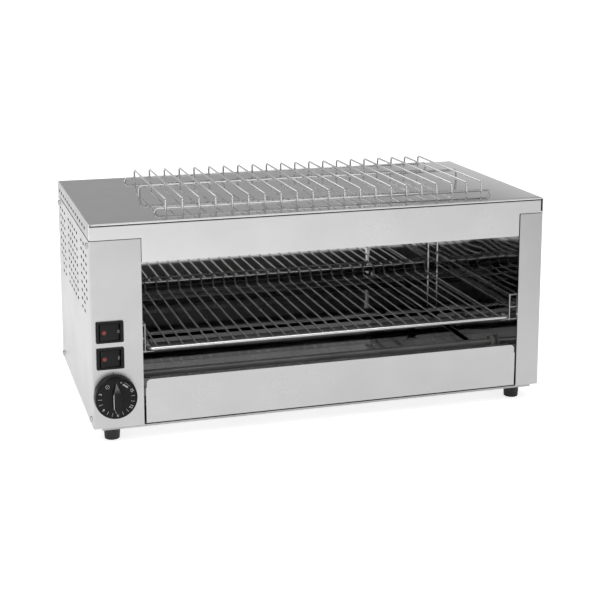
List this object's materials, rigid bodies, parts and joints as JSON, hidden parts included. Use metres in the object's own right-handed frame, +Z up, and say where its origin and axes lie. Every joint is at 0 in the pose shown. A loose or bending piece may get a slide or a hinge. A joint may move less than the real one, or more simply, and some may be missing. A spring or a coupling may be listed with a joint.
{
  "type": "shelf toaster",
  "caption": "Open-front counter-top toaster with quartz heaters, a sliding wire shelf, a crumb tray, a timer knob, rocker switches and a wire rack on top.",
  "frame": {"origin": "on the surface the feet stand on, below the middle of the overall box", "axes": "+X right, +Y back, +Z up, seen from the open front"},
  "size_m": [0.5546, 0.3264, 0.2728],
  "materials": {
    "casing_steel": "satin stainless",
    "frame_steel": "plain sheet",
    "cavity_steel": "bright annealed, mirror-like",
    "screw_steel": "plated",
    "chromed_wire": "bright chrome plated",
    "foot_rubber": "black, matt",
    "quartz": "milky quartz glass",
    "coil_wire": "oxidised wire",
    "ceramic": "glazed ceramic",
    "hidden_plastic": "moulded",
    "blade_brass": "plain",
    "black_plastic": "satin black",
    "lens_red": "clear red lens"
  },
  "bodies": {
    "casing": {"top_cover": "casing_steel", "front_header": "casing_steel", "rear_crossbar": "frame_steel", "left_side_cover": "casing_steel", "right_side_cover": "casing_steel", "back_cover": "casing_steel", "base_plate": "frame_steel", "cavity_left_wall": "cavity_steel", "cavity_right_wall": "cavity_steel", "cavity_back_wall": "cavity_steel", "upper_reflector": "cavity_steel", "cover_screws": "screw_steel", "foot_front_left": "foot_rubber", "foot_front_right": "foot_rubber", "foot_rear_left": "foot_rubber", "foot_rear_right": "foot_rubber", "quartz_tube_lower_front": "quartz", "quartz_tube_lower_rear": "quartz", "quartz_tube_upper_front": "quartz", "quartz_tube_upper_rear": "quartz", "heating_coils": "coil_wire", "tube_bushes": "ceramic", "tube_caps": "screw_steel", "shelf_rail_left": "chromed_wire", "shelf_rail_right": "chromed_wire", "timer_body": "hidden_plastic", "switch_blades": "blade_brass", "cable_gland": "black_plastic", "gland_nut": "black_plastic", "terminal_block": "hidden_plastic", "switch_housing_upper": "black_plastic", "switch_housing_lower": "black_plastic"},
    "tray": {"tray_front": "casing_steel", "tray_pan": "cavity_steel"},
    "shelf": {"shelf_front_bar": "chromed_wire", "shelf_wires": "chromed_wire", "shelf_cross_wires": "chromed_wire", "shelf_rear_bar": "chromed_wire"},
    "rack": {"rack_wires": "chromed_wire", "rack_front_rod": "chromed_wire", "rack_middle_rod": "chromed_wire", "rack_rear_rod": "chromed_wire"},
    "timer": {"timer_shaft": "screw_steel", "timer_knob": "black_plastic"},
    "rocker_upper": {"switch_rocker_upper": "black_plastic", "switch_lens_upper": "lens_red"},
    "rocker_lower": {"switch_rocker_lower": "black_plastic", "switch_lens_lower": "lens_red"}
  },
  "joints": [
    {"name": "timer_turn", "type": "hinge", "parent": "casing", "child": "timer", "pos_m": [-0.2504, -0.14175, 0.059], "axis": [0, 1, 0], "range_deg": [-25, 297]},
    {"name": "upper_switch", "type": "hinge", "parent": "casing", "child": "rocker_upper", "pos_m": [-0.25455, -0.13975, 0.1332], "axis": [0, 0, -1], "range_deg": [0, 14]},
    {"name": "lower_switch", "type": "hinge", "parent": "casing", "child": "rocker_lower", "pos_m": [-0.25455, -0.13975, 0.1025], "axis": [0, 0, -1], "range_deg": [0, 14]},
    {"name": "tray_slide", "type": "slide", "parent": "casing", "child": "tray", "axis": [0, -1, 0], "range_m": [0, 0.25]},
    {"name": "shelf_slide", "type": "slide", "parent": "casing", "child": "shelf", "axis": [0, -1, 0], "range_m": [0, 0.22]},
    {"name": "top_rack_lift", "type": "slide", "parent": "casing", "child": "rack", "axis": [0, 0, 1], "range_m": [0, 0.2]}
  ]
}
